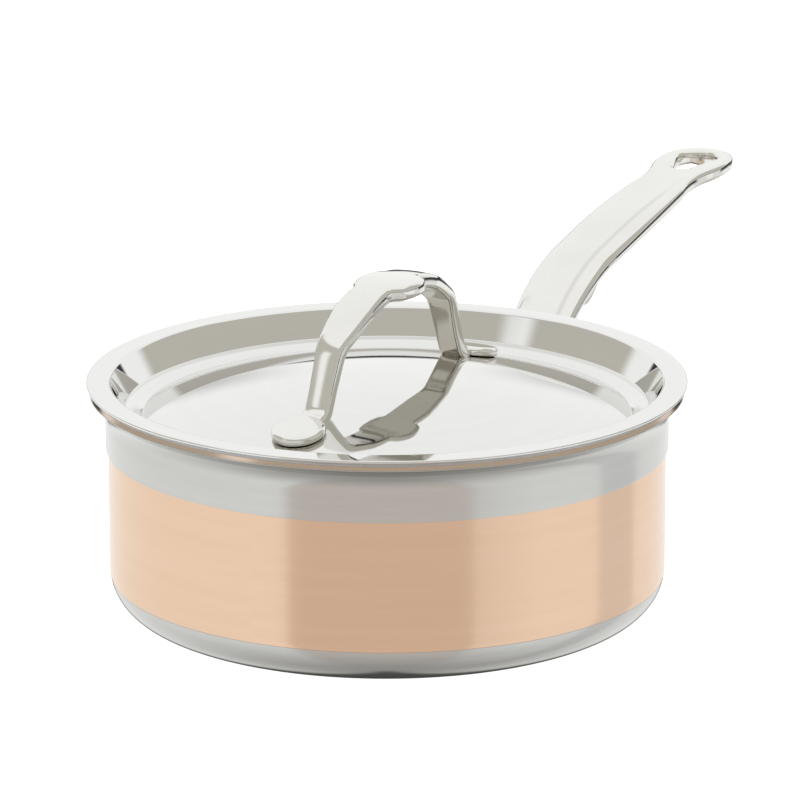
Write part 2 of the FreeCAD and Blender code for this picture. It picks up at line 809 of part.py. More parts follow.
for build in (inner_liner, aluminium_core, copper_wall, rim_band, base_cup, pan_handle, handle_rivets,
              lid_shell, lid_handle, lid_studs):
    build()
check_document()
os.makedirs("parts", exist_ok=True)
for body in doc.findObjects("PartDesign::Body"):
    body.Shape.exportStep(f"parts/{body.Label}.step")
    print(f"{body.Label}: {body.Shape.Volume:.0f} mm3")
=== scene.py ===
import math

import bmesh
import bpy
from mathutils import Matrix, Vector


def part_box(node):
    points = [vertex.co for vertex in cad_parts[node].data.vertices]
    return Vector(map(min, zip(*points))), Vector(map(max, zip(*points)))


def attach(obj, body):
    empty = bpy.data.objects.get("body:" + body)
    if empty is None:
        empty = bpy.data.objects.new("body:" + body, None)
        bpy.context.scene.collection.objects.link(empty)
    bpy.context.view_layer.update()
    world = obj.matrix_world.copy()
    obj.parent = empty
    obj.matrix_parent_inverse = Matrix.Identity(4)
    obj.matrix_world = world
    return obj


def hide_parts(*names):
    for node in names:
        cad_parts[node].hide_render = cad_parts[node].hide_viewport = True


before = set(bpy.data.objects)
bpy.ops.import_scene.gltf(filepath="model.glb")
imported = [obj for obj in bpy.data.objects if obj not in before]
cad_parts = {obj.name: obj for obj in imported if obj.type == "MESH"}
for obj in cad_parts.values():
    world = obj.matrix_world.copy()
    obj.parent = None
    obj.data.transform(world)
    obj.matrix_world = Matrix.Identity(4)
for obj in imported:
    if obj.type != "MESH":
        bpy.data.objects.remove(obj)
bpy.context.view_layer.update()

# Lengths below are millimetres in the frame of the CAD: +Z up, the origin on the pan's axis at its flat
# underside, and the long handle along +X. MM turns them into metres when a mesh is made.
MM = 0.001
SEGMENTS = 320

RIM_TOP = 77.6
BAND_RADIUS, COPPER_RADIUS = 92.4, 91.55
BAND_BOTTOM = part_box("rim_band")[0].z / MM
CUP_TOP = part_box("base_cup")[1].z / MM
BASE_CORNER = 14.5
FLARE_START, FLARE_RADIUS, FLARE_ANGLE = 65.4, 9.5, 62
STEEL_PLY, COPPER_PLY, CORE_PLY, LINER_PLY = 0.35, 0.45, 0.75, 0.4

LID_RADIUS = 98.4
LID_SHEET = 1.0
LID_EDGE = 0.42
RECESS_FOOT, RECESS_DEPTH, RECESS_SLOPE, RECESS_BEND = 85.7, 9.3, 62, 1.2
RING_ARC, GROOVE_RADIUS = 12, 80.1
DOME_SPHERE = 275
DOME_CENTRE = RIM_TOP + 0.3 - DOME_SPHERE
LID_TURN = -1.7

FOOT_OFFSET, FOOT_RADIUS, FOOT_THICK = 56.8, 8.85, 3.2
FOOT_GAP, FOOT_LOW_EDGE, FOOT_TOP_EDGE, FOOT_CROWN = 0.02, 0.9, 1.5, 0.1
STRAP_THICK = 5


# ---------------------------------------------------------------- outlines

def arc(centre_x, centre_y, radius, start, end, steps=20):
    """Points of an arc between two angles in degrees."""
    points = []
    for step in range(steps + 1):
        angle = math.radians(start + (end - start) * step / steps)
        points.append((centre_x + radius * math.cos(angle), centre_y + radius * math.sin(angle)))
    return points


def arc_to(start, end, radius, left, steps=20):
    """Points of the shorter arc between two points, with its centre on the left or right of the way."""
    start, end = Vector(start), Vector(end)
    chord = end - start
    side = Vector((-chord.y, chord.x)).normalized() * (1 if left else -1)
    centre = (start + end) / 2 + side * math.sqrt(max(radius**2 - (chord.length / 2) ** 2, 0))
    first = math.atan2(start.y - centre.y, start.x - centre.x)
    turn = 2 * math.asin(min(chord.length / 2 / radius, 1)) * (1 if left else -1)
    return [(centre.x + radius * math.cos(first + turn * step / steps),
             centre.y + radius * math.sin(first + turn * step / steps)) for step in range(steps + 1)]


def inside_line(start, end, count):
    """Points that cut a straight line into equal parts, without its two ends."""
    return [(start[0] + (end[0] - start[0]) * step / count,
             start[1] + (end[1] - start[1]) * step / count) for step in range(1, count)]


def direction_at(points, index):
    """The way a line of points runs at one of them, from the point before it to the one after."""
    before, after = points[max(index - 1, 0)], points[min(index + 1, len(points) - 1)]
    return Vector((after[0] - before[0], after[1] - before[1])).normalized()


def quarter_steps(radius, count):
    """Distances in from an outline at which evenly turned points of a quarter-round edge lie."""
    return [radius * (1 - math.cos(math.pi / 2 * step / count)) for step in range(count + 1)]


def without_repeats(points, closeness=1e-3):
    """The points with each one dropped that lies on the one before it."""
    kept = []
    for point in points:
        if not kept or math.dist(kept[-1], point) > closeness:
            kept.append(point)
    return kept


def softened(points, radius, steps=4, sharp=20):
    """A closed outline with each of its sharp corners rounded. Corners on the axis stay."""
    points = without_repeats(points)
    soft = []
    for index, point in enumerate(points):
        here = Vector(point)
        back = Vector(points[index - 1]) - here
        ahead = Vector(points[(index + 1) % len(points)]) - here
        turn = math.pi - back.angle(ahead)
        if point[0] < 1e-6 or turn < math.radians(sharp):
            soft.append(point)
            continue
        half = (math.pi - turn) / 2
        reach = min(radius / math.tan(half), back.length * 0.45, ahead.length * 0.45)
        start, end = here + back.normalized() * reach, here + ahead.normalized() * reach
        left = back.x * ahead.y - back.y * ahead.x < 0
        soft += arc_to(start, end, reach * math.tan(half), left, steps)
    return soft


# ---------------------------------------------------------------- meshes

def new_piece(name, verts, faces, normals=None):
    mesh = bpy.data.meshes.new(name)
    mesh.from_pydata([[value * MM for value in vert] for vert in verts], [], faces)
    mesh.update()
    mesh.shade_smooth()
    if normals is not None:
        mesh.normals_split_custom_set_from_vertices(normals)
    piece = bpy.data.objects.new(name, mesh)
    bpy.context.collection.objects.link(piece)
    return piece


def outline_normals(points):
    """Outward normals of a closed outline that runs counter-clockwise, weighted towards long runs."""
    normals = []
    for index, point in enumerate(points):
        total = Vector((0, 0))
        for a, b in ((points[index - 1], point), (point, points[(index + 1) % len(points)])):
            on_axis = a[0] < 1e-6 and b[0] < 1e-6
            if not on_axis:
                total += Vector((b[1] - a[1], a[0] - b[0]))
        normals.append(total.normalized())
    return normals


def revolved(name, outline):
    """A closed outline of (radius, height), counter-clockwise, turned about the Z axis."""
    points = without_repeats(outline)
    normals = outline_normals(points)
    verts, out, rings = [], [], []
    for (radius, height), normal in zip(points, normals):
        if radius < 1e-6:
            rings.append([len(verts)] * SEGMENTS)
            verts.append((0, 0, height))
            out.append((0, 0, 1 if normal.y > 0 else -1))
            continue
        rings.append(list(range(len(verts), len(verts) + SEGMENTS)))
        for step in range(SEGMENTS):
            angle = 2 * math.pi * step / SEGMENTS
            cosine, sine = math.cos(angle), math.sin(angle)
            verts.append((radius * cosine, radius * sine, height))
            out.append((normal.x * cosine, normal.x * sine, normal.y))
    faces = []
    for index, low in enumerate(rings):
        high = rings[(index + 1) % len(rings)]
        for step in range(SEGMENTS):
            beyond = (step + 1) % SEGMENTS
            face = []
            for vert in (low[step], low[beyond], high[beyond], high[step]):
                if vert not in face:
                    face.append(vert)
            if len(face) > 2:
                faces.append(face)
    return new_piece(name, verts, faces, out)


def joined(name, pieces):
    """One object out of several, which are then gone."""
    mesh = bmesh.new()
    for piece in pieces:
        mesh.from_mesh(piece.data)
    whole = bpy.data.meshes.new(name)
    mesh.to_mesh(whole)
    mesh.free()
    for piece in pieces:
        bpy.data.objects.remove(piece)
    whole.shade_smooth()
    result = bpy.data.objects.new(name, whole)
    bpy.context.collection.objects.link(result)
    return result


# ---------------------------------------------------------------- pan body

FLARE_CENTRE = BAND_RADIUS + FLARE_RADIUS
CORNER_X = COPPER_RADIUS - BASE_CORNER
UNDER_COPPER = STEEL_PLY + COPPER_PLY
UNDER_CORE = UNDER_COPPER + CORE_PLY
UNDER_LINER = UNDER_CORE + LINER_PLY
PLY_EDGE = 0.08


def flare(radius):
    """The lip's flare, upwards, for a ply surface of this wall radius."""
    return arc(FLARE_CENTRE, FLARE_START, FLARE_CENTRE - radius, 180, 180 - FLARE_ANGLE)


def base_corner(depth, top=BASE_CORNER):
    """The rounded base corner at a depth below the turned surface, from the flat up to a height."""
    radius = BASE_CORNER - depth
    return arc(CORNER_X, BASE_CORNER, radius, -90, -math.degrees(math.asin((BASE_CORNER - top) / radius)))


def inner_ply(outer, inner):
    """A ply that runs over the whole pan, between two depths."""
    outline = [(0, outer)] + base_corner(outer) + flare(COPPER_RADIUS - outer)
    outline += flare(COPPER_RADIUS - inner)[::-1] + base_corner(inner)[::-1] + [(0, inner)]
    return outline


def copper_ply():
    under_band = BAND_RADIUS - STEEL_PLY
    outline = [(0, STEEL_PLY)] + base_corner(STEEL_PLY, CUP_TOP)
    top = math.degrees(math.asin((BASE_CORNER - CUP_TOP) / BASE_CORNER))
    outline += arc(CORNER_X, BASE_CORNER, BASE_CORNER, -top, 0, 4)
    outline += [(COPPER_RADIUS, BAND_BOTTOM), (under_band, BAND_BOTTOM)] + flare(under_band)
    outline += flare(COPPER_RADIUS - UNDER_COPPER)[::-1] + base_corner(UNDER_COPPER)[::-1]
    return outline + [(0, UNDER_COPPER)]


def rim_band():
    under_band = BAND_RADIUS - STEEL_PLY
    outline = [(under_band, BAND_BOTTOM), (BAND_RADIUS, BAND_BOTTOM)] + flare(BAND_RADIUS)
    return outline + flare(under_band)[::-1]


def base_cup():
    outline = [(0, 0)] + base_corner(0, CUP_TOP)
    return outline + base_corner(STEEL_PLY, CUP_TOP)[::-1] + [(0, STEEL_PLY)]


# ---------------------------------------------------------------- lid

def dome_height(radius, sphere=DOME_SPHERE):
    """Height of the dome, or of a sphere inside it, at a radius from the axis."""
    return DOME_CENTRE + math.sqrt(sphere**2 - radius**2)


def lid_plate():
    """One pressed sheet: flat rim, sloping recess wall, rounded ring, groove and domed centre."""
    slope = math.radians(RECESS_SLOPE)
    foot = (RECESS_FOOT, RIM_TOP - RECESS_DEPTH)
    mouth = RECESS_FOOT + RECESS_DEPTH / math.tan(slope)
    tangent = RECESS_BEND * math.tan(slope / 2)
    before = (mouth - tangent * math.cos(slope), RIM_TOP - tangent * math.sin(slope))
    bend = arc_to(before, (mouth + tangent, RIM_TOP), RECESS_BEND, False, 10)
    groove = (GROOVE_RADIUS, dome_height(GROOVE_RADIUS))
    edge_angle = math.degrees(math.acos(GROOVE_RADIUS / DOME_SPHERE))
    top = arc(0, DOME_CENTRE, DOME_SPHERE, 90, edge_angle, 60)
    top += arc_to(groove, foot, RING_ARC, False, 12) + bend
    top += [(LID_RADIUS, RIM_TOP), (LID_RADIUS, RIM_TOP - LID_SHEET)]
    inner_sphere = DOME_SPHERE - LID_SHEET
    under_foot = (RECESS_FOOT + LID_SHEET * math.sin(slope), foot[1] - LID_SHEET * math.cos(slope))
    under_mouth = under_foot[0] + (RIM_TOP - LID_SHEET - under_foot[1]) / math.tan(slope)
    under_groove = (GROOVE_RADIUS, dome_height(GROOVE_RADIUS, inner_sphere))
    top += [(under_mouth, RIM_TOP - LID_SHEET), under_foot]
    top += arc_to(under_foot, under_groove, RING_ARC - LID_SHEET, True, 12)
    under_angle = math.degrees(math.acos(GROOVE_RADIUS / inner_sphere))
    top += arc(0, DOME_CENTRE, inner_sphere, under_angle, 90, 60)
    return top[::-1]


# The side view of the lid handle's outer face runs from the crown down to the feet. Its crown's height is
# above the lid's flat rim, and slopes are in degrees.
CROWN_HEIGHT, CROWN_ARC, CROWN_SLOPE = 33.8, 50, 30
SHOULDER_RUN, SHOULDER_ARC, LEG_SLOPE = 10, 14, 65
INSTEP_ARC = 3.5
# how far the shoulders are pushed out, and how far the strap's ends sink into the feet
NEAR_BULGE, FAR_BULGE = 0.8, 2.2
STRAP_SINK = 1.3
# the section's slightly crowned outer face, the round of its outer edges and of its inner ones
STRAP_CROWN, STRAP_EDGE, STRAP_EDGE_SHARE, STRAP_UNDER_EDGE = 0.45, 1.9, 0.4, 1.1
# Half-widths of the strap by distance from the lid's axis. What they have beyond CROWN_CORE is kept only
# in the share CROWN_OTHER on the +Y side.
CROWN_CORE, CROWN_OTHER = 7, 0.5
STRAP_HALVES = [(0, 12.3), (3, 12.1), (6, 11.2), (7.8, 10.2), (8.6, 8.8), (9.2, 7.6), (10.2, 6.9),
                (15.6, 7.0), (22.6, 7.0), (29.6, 6.3), (35.1, 5.5), (38.6, 5.0), (40.6, 4.7), (43.6, 4.35),
                (62, 4.3)]


def between(table, where):
    """A value read off a table of pairs, with straight runs between them and none beyond its ends."""
    for (x0, y0), (x1, y1) in zip(table, table[1:]):
        if where <= x1:
            return y0 + (y1 - y0) * max(where - x0, 0) / (x1 - x0)
    return table[-1][1]


def lid_strap_side():
    """The outer face of one half of the arched strap, as points of (distance from the axis, height)."""
    gentle, steep = math.radians(CROWN_SLOPE), math.radians(LEG_SLOPE)
    apex = RIM_TOP + CROWN_HEIGHT
    crown = arc(0, apex - CROWN_ARC, CROWN_ARC, 90, 90 - CROWN_SLOPE, 26)
    x1, z1 = crown[-1]
    x2, z2 = x1 + SHOULDER_RUN * math.cos(gentle), z1 - SHOULDER_RUN * math.sin(gentle)
    run = inside_line((x1, z1), (x2, z2), 10)
    bend_x, bend_z = x2 - SHOULDER_ARC * math.sin(gentle), z2 - SHOULDER_ARC * math.cos(gentle)
    shoulder = arc(bend_x, bend_z, SHOULDER_ARC, 90 - CROWN_SLOPE, 90 - LEG_SLOPE, 14)
    x3, z3 = shoulder[-1]
    # the leg meets the plane of the foot's top, which leans with the dome
    lean = math.asin(FOOT_OFFSET / DOME_SPHERE)
    top = DOME_SPHERE + FOOT_THICK
    foot_x, foot_z = top * math.sin(lean), DOME_CENTRE + top * math.cos(lean)
    meeting = math.sin(steep - lean)
    leg = -((foot_x - x3) * math.sin(lean) + (foot_z - z3) * math.cos(lean)) / meeting
    tangent = INSTEP_ARC * math.tan((steep - lean) / 2)
    corner_x, corner_z = x3 + leg * math.cos(steep), z3 - leg * math.sin(steep)
    start = (corner_x - tangent * math.cos(steep), corner_z + tangent * math.sin(steep))
    end = (corner_x + tangent * math.cos(lean), corner_z - tangent * math.sin(lean))
    down = inside_line((x3, z3), start, 10)
    instep = arc_to(start, end, INSTEP_ARC, True, 12)
    return crown + run + shoulder[:-1] + down + instep + [(foot_x, foot_z)]


def strap_section(half):
    """Half of the strap's section, from the middle of its outer face round to the middle of the inner."""
    edge, under = min(STRAP_EDGE, half * STRAP_EDGE_SHARE), STRAP_UNDER_EDGE
    side = half - edge
    points = [(side * step / 5, -STRAP_CROWN * (side * step / 5 / half) ** 2) for step in range(6)]
    points += arc(side, points[-1][1] - edge, edge, 80, 0, 7)
    points += arc(half - under, under - STRAP_THICK, under, 0, -90, 5)
    points += [((half - under) * (1 - step / 3), -STRAP_THICK) for step in range(1, 4)]
    return points


def strap_stations(side, bulge):
    """Points with normals down one half of the strap, pushed out between the crown and the foot."""
    shaped = []
    for index, (x, z) in enumerate(side):
        way = direction_at(side, index)
        fallen = min(max((RIM_TOP + CROWN_HEIGHT - z) / CROWN_HEIGHT, 0), 1)
        out = bulge * math.sin(math.pi * math.sqrt(fallen)) ** 2 if index else 0
        shaped.append((x - way.y * out, z + way.x * out))
    stations = []
    for index, (x, z) in enumerate(shaped):
        way = direction_at(shaped, index) if index else Vector((1, 0))
        stations.append((x, z, Vector((-way.y, way.x))))
    x, z, normal = stations[-1]
    stations[-1] = (x - normal.x * STRAP_SINK, z - normal.y * STRAP_SINK, normal)
    return stations


def lid_strap():
    """The arched strap, along X, as one loop of points after another from its near end to its far end."""
    side = lid_strap_side()
    near, far = (strap_stations(side, bulge) for bulge in (NEAR_BULGE, FAR_BULGE))
    halves = [(-x, z, Vector((-normal.x, normal.y))) for x, z, normal in near[:0:-1]]
    verts, rings = [], []
    for x, z, normal in halves + far:
        half = between(STRAP_HALVES, abs(x))
        section = strap_section(half)
        other = strap_section(min(half, CROWN_CORE + (half - CROWN_CORE) * CROWN_OTHER))
        loop = other + [(-y, h) for y, h in section[-2:0:-1]]
        rings.append(range(len(verts), len(verts) + len(loop)))
        verts += [(x + normal.x * h, y, z + normal.y * h) for y, h in loop]
    faces = []
    for low, high in zip(rings, rings[1:]):
        count = len(low)
        for step in range(count):
            beyond = (step + 1) % count
            faces.append((low[step], high[step], high[beyond], low[beyond]))
    faces.append(list(rings[0]))
    faces.append(list(rings[-1])[::-1])
    return new_piece("strap", verts, faces)


def lid_foot(sign):
    """A round foot, square to the dome, with soft edges: the lower one leaves a narrow shadow line."""
    lean = math.asin(FOOT_OFFSET / DOME_SPHERE)
    low = DOME_SPHERE + FOOT_GAP
    top = DOME_SPHERE + FOOT_THICK
    outline = [(0, low), (FOOT_RADIUS - FOOT_LOW_EDGE, low)]
    outline += arc(FOOT_RADIUS - FOOT_LOW_EDGE, low + FOOT_LOW_EDGE, FOOT_LOW_EDGE, -90, 0, 5)
    edge_height = top - (FOOT_TOP_EDGE + FOOT_CROWN)
    outline += arc(FOOT_RADIUS - FOOT_TOP_EDGE, edge_height, FOOT_TOP_EDGE, 0, 78, 9)
    outline += [(FOOT_RADIUS * share, top - FOOT_CROWN * share * share) for share in (0.75, 0.5, 0.25)]
    outline += [(0, top)]
    foot = revolved("foot", outline)
    turn = Matrix.Rotation(sign * lean, 4, "Y")
    foot.data.transform(Matrix.Translation((0, 0, DOME_CENTRE * MM)) @ turn)
    return foot


# ---------------------------------------------------------------- long handle

# the side view: drops and rises are from the lid's flat rim, and slopes are in degrees
GRIP_THICK = 6
ROOT_DROP, ROOT_SLOPE = 21, 37
KNEE_START, KNEE_ARC, KNEE_SLOPE = 115.6, 78, 11.5
BACK_END, BACK_RISE, BACK_ARC = 212, 22.2, 828
GRIP_TIP, TIP_RISE, TIP_ARC = 250.8, 24.8, 362
# the plan: half-widths at places along X, and the arcs that run between them
ROOT_X, ROOT_HALF, ROOT_ARC = COPPER_RADIUS + 0.6, 15.5, 34
WAIST_X, WAIST_HALF = 108, 11.3
BELLY_X, BELLY_HALF, BELLY_ARC = 149.6, 12.2, 600
NECK_X, NECK_HALF, NECK_ARC = 204, 10.7, 40
LOOP_SIDE, LOOP_SIDE_HALF, LOOP_SIDE_ARC = 224, 11.8, 30
LOOP_CENTRE, LOOP_HALF = 237.5, 12.9
# The hanging hole is two circles and the lines that touch both. Its lean and spread are the sine and the
# cosine of the angle between those lines and the X axis.
HOLE_FAR, HOLE_FAR_RADIUS = 237.5, 7.2
HOLE_NEAR, HOLE_NEAR_RADIUS = 225.5, 3
HOLE_LEAN = (HOLE_FAR_RADIUS - HOLE_NEAR_RADIUS) / (HOLE_FAR - HOLE_NEAR)
HOLE_SPREAD = math.sqrt(1 - HOLE_LEAN**2)
# the round edge, what it has more at the knee, and the run before the neck over which that fades out
GRIP_EDGE, KNEE_EDGE, KNEE_EDGE_FADE = 1.5, 0.9, 70
# how much less deep the underside is at the sides, and the least half-width that it is worked out with
UNDER_RISE, LEAST_HALF = 1.5, 6
# the flat middle of the back: its height, where it rises and falls off, its share of the half-width, and
# how softly it turns into the bevels
PLATEAU = 0.9
PLATEAU_START, PLATEAU_RISE, PLATEAU_END, PLATEAU_FALL = 100, 20, 206, 30
CREASE, CREASE_BLEND = 0.52, 0.09
# the lug under the knee: its middle and half-length along X, half-width, depth and softness of its sides
LUG_CENTRE, LUG_LENGTH, LUG_HALF, LUG_DEPTH, LUG_SIDE = 138, 8.2, 7.2, 8, 1.2
# rows of the mesh up to the neck, from there to the hole, and beside the hole
STRAP_ROWS, NECK_ROWS, LOOP_ROWS = 130, 28, 64
# how finely the loop's outline is cut, and the spans of a row over a round edge and between the edges
LOOP_POINTS, GRIP_BENDS, GRIP_SPANS = 600, 8, 16


def grip_side():
    """The top line of the long handle, as points of (x, z)."""
    slope, flat = math.radians(ROOT_SLOPE), math.radians(KNEE_SLOPE)
    root_z = RIM_TOP - ROOT_DROP
    knee_z = root_z + (KNEE_START - BAND_RADIUS) * math.tan(slope)
    back = (KNEE_START + KNEE_ARC * (math.sin(slope) - math.sin(flat)),
            knee_z + KNEE_ARC * (math.cos(flat) - math.cos(slope)))
    neck = (BACK_END, RIM_TOP + BACK_RISE)
    line = [(BAND_RADIUS - 10, root_z - 10 * math.tan(slope)), (KNEE_START, knee_z)]
    line += arc_to(line[-1], back, KNEE_ARC, False, 40)
    line += arc_to(back, neck, BACK_ARC, False, 40)
    return without_repeats(line + arc_to(neck, (GRIP_TIP, RIM_TOP + TIP_RISE), TIP_ARC, False, 30))


GRIP_LINE = grip_side()


def grip_top(x):
    """Height of the handle's top line."""
    return between(GRIP_LINE, x)


def grip_plan():
    """The left half of the handle's plan outline, from the root to the tip."""
    belly, neck = (BELLY_X, BELLY_HALF), (NECK_X, NECK_HALF)
    loop_side, loop = (LOOP_SIDE, LOOP_SIDE_HALF), (LOOP_CENTRE, LOOP_HALF)
    outline = arc_to((ROOT_X, ROOT_HALF), (WAIST_X, WAIST_HALF), ROOT_ARC, True, 12)
    outline += arc_to((KNEE_START, WAIST_HALF), belly, BELLY_ARC, False, 14)
    outline += arc_to(belly, neck, BELLY_ARC, False, 30)
    outline += arc_to(neck, loop_side, NECK_ARC, True, 16)
    outline += arc_to(loop_side, loop, LOOP_SIDE_ARC, False, 12)
    reach = GRIP_TIP - LOOP_CENTRE
    bow = (reach**2 + LOOP_HALF**2) / (2 * reach)
    outline += arc_to(loop, (GRIP_TIP, 0), bow, False, 24)
    return without_repeats(outline)


def hole_plan():
    """The left half of the hanging hole's outline, from its near end to its far end."""
    near = (HOLE_NEAR - HOLE_NEAR_RADIUS * HOLE_LEAN, HOLE_NEAR_RADIUS * HOLE_SPREAD)
    far = (HOLE_FAR - HOLE_FAR_RADIUS * HOLE_LEAN, HOLE_FAR_RADIUS * HOLE_SPREAD)
    outline = arc_to((HOLE_NEAR - HOLE_NEAR_RADIUS, 0), near, HOLE_NEAR_RADIUS, False, 8)
    outline += inside_line(near, far, 8)
    tail = arc_to((HOLE_FAR + HOLE_FAR_RADIUS, 0), far, HOLE_FAR_RADIUS, True, 24)
    return without_repeats(outline + tail[::-1])


def from_hole(x, y):
    """How far a point lies outside the hanging hole."""
    x, y = x - HOLE_NEAR, abs(y)
    run = x * HOLE_SPREAD + y * HOLE_LEAN
    if run < 0:
        return math.hypot(x, y) - HOLE_NEAR_RADIUS
    if run > (HOLE_FAR - HOLE_NEAR) * HOLE_SPREAD:
        return math.hypot(x - HOLE_FAR + HOLE_NEAR, y) - HOLE_FAR_RADIUS
    return y * HOLE_SPREAD - x * HOLE_LEAN - HOLE_NEAR_RADIUS


def along(points, count):
    """Points spaced evenly along an open line."""
    lengths = [0.0]
    for a, b in zip(points, points[1:]):
        lengths.append(lengths[-1] + math.dist(a, b))
    spaced = []
    for step in range(count + 1):
        goal = lengths[-1] * step / count
        index = 0
        while index < len(points) - 2 and lengths[index + 1] < goal:
            index += 1
        share = (goal - lengths[index]) / (lengths[index + 1] - lengths[index])
        share = min(max(share, 0), 1)
        a, b = points[index], points[index + 1]
        spaced.append((a[0] + (b[0] - a[0]) * share, a[1] + (b[1] - a[1]) * share))
    return spaced


def edge_drop(distance, radius):
    """How far a quarter-round edge has fallen at a distance in from the outline."""
    if distance >= radius:
        return 0
    return radius - math.sqrt(max(radius**2 - (radius - distance) ** 2, 0))


def smooth(value):
    """A soft step from 0 to 1 over that range of the value."""
    value = min(max(value, 0), 1)
    return value * value * (3 - 2 * value)


def grip_crown(x, y, half):
    """The flat middle of the handle's back stands a little above its long side bevels."""
    fade = smooth((PLATEAU_END - x) / PLATEAU_FALL) * smooth((x - PLATEAU_START) / PLATEAU_RISE)
    share = (abs(y) / half - CREASE) / (1 - CREASE)
    if share > CREASE_BLEND:
        bevel = share
    elif share < -CREASE_BLEND:
        bevel = 0
    else:
        bevel = (share + CREASE_BLEND) ** 2 / (4 * CREASE_BLEND)
    return PLATEAU * fade * (1 - bevel)


def grip_under(x, y, half):
    """Depth of the underside below the top line: less towards the sides, and more at the lug."""
    slope = grip_top(x + 0.5) - grip_top(x - 0.5)
    full = GRIP_THICK * math.sqrt(1 + slope**2)
    share = min(abs(y) / half, 1)
    depth = full - UNDER_RISE * share**2
    way = min(abs(x - LUG_CENTRE) / LUG_LENGTH, 1)
    return depth + LUG_DEPTH * math.sqrt(1 - way**2) * smooth((LUG_HALF - abs(y)) / LUG_SIDE)


def grip_rows():
    """The two ends of each row across the left half of the handle, and the first row's number that ends
    at the hole. A row starts at the plan outline and ends at the middle line or, in the loop, at the hole."""
    plan, hole = grip_plan(), hole_plan()
    neck = next(index for index, point in enumerate(plan) if point[0] >= NECK_X - 1e-6)
    outer = along(plan[: neck + 1], STRAP_ROWS)[:-1]
    inner = [(x, 0) for x, y in outer]
    loop = along(plan[neck:], LOOP_POINTS)
    lead = hole[0][0] - NECK_X
    lead_share = lead / (lead + sum(math.dist(a, b) for a, b in zip(hole, hole[1:])))
    for step in range(NECK_ROWS):
        share = lead_share * step / NECK_ROWS
        outer.append(loop[round(share * LOOP_POINTS)])
        inner.append((NECK_X + lead * step / NECK_ROWS, 0))
    hole_start = len(outer)
    ring = along(hole, LOOP_ROWS)
    for step in range(LOOP_ROWS + 1):
        share = lead_share + (1 - lead_share) * step / LOOP_ROWS
        outer.append(loop[round(share * LOOP_POINTS)])
        inner.append(ring[step])
    return outer, inner, hole_start


def row_across(start, inward, edge, end, in_hole):
    """Points of a row as ((x, y), distance in from the outline), close together at its round edges."""
    rounding = quarter_steps(GRIP_EDGE, GRIP_BENDS)
    row = []
    for reach in rounding:
        inset = edge * (reach / GRIP_EDGE)
        row.append(((start[0] + inward.x * inset, start[1] + inward.y * inset), inset))
    (x, y), _ = row[-1]
    way = Vector((end[0] - x, end[1] - y))
    if in_hole:
        stops = [step / GRIP_SPANS * (1 - GRIP_EDGE / way.length) for step in range(1, GRIP_SPANS + 1)]
        stops += [1 - reach / way.length for reach in rounding[-2::-1]]
    else:
        count = GRIP_SPANS + GRIP_BENDS
        stops = [step / count for step in range(1, count + 1)]
    return row + [((x + way.x * stop, y + way.y * stop), math.inf) for stop in stops]


def mirrored_piece(name, verts, faces):
    """One object out of a half mesh on the +Y side and its mirror image, joined at the middle."""
    mesh = bmesh.new()
    made = [mesh.verts.new([value * MM for value in vert]) for vert in verts]
    for face in faces:
        mesh.faces.new([made[index] for index in face])
    mirror = [mesh.verts.new((vert.co.x, -vert.co.y, vert.co.z)) for vert in made]
    for face in faces:
        mesh.faces.new([mirror[index] for index in face[::-1]])
    bmesh.ops.remove_doubles(mesh, verts=mesh.verts, dist=1e-6)
    bmesh.ops.recalc_face_normals(mesh, faces=mesh.faces)
    data = bpy.data.meshes.new(name)
    mesh.to_mesh(data)
    mesh.free()
    data.shade_smooth()
    piece = bpy.data.objects.new(name, data)
    bpy.context.collection.objects.link(piece)
    return piece


def long_grip():
    """The long handle with its round edges, bevelled back, hanging hole and lug."""
    outer, inner, hole_start = grip_rows()
    verts, rings = [], []
    for index, (start, end) in enumerate(zip(outer, inner)):
        way = direction_at(outer, index)
        at_tip = index == len(outer) - 1
        inward = Vector((-1, 0)) if at_tip else Vector((way.y, -way.x))
        edge = GRIP_EDGE + KNEE_EDGE * smooth((NECK_X - start[0]) / KNEE_EDGE_FADE)
        half = max(abs(start[1]), LEAST_HALF)
        top, low = [], []
        for (x, y), reach in row_across(start, inward, edge, end, index >= hole_start):
            drop = edge_drop(reach, edge) + edge_drop(from_hole(x, y), GRIP_EDGE)
            base = grip_top(x)
            top.append((x, y, base + grip_crown(x, y, half) - drop))
            low.append((x, y, base - grip_under(x, y, half) + drop))
        ring = top[::-1] + low
        rings.append(range(len(verts), len(verts) + len(ring)))
        verts += ring
    faces = []
    for index, (low, high) in enumerate(zip(rings, rings[1:])):
        for step in range(len(low) - 1):
            faces.append((low[step], low[step + 1], high[step + 1], high[step]))
        if index >= hole_start:
            faces.append((low[-1], low[0], high[0], high[-1]))
    return mirrored_piece("grip", verts, faces)


# the pad's half-angle in degrees, its heights, thickness, corner and edge rounds, and gap to the wall
PAD_ANGLE, PAD_TOP, PAD_BOTTOM, PAD_THICK = 12, 59, 30, 4.5
PAD_CORNER, PAD_EDGE, PAD_GAP = 8, 1.6, 0.02


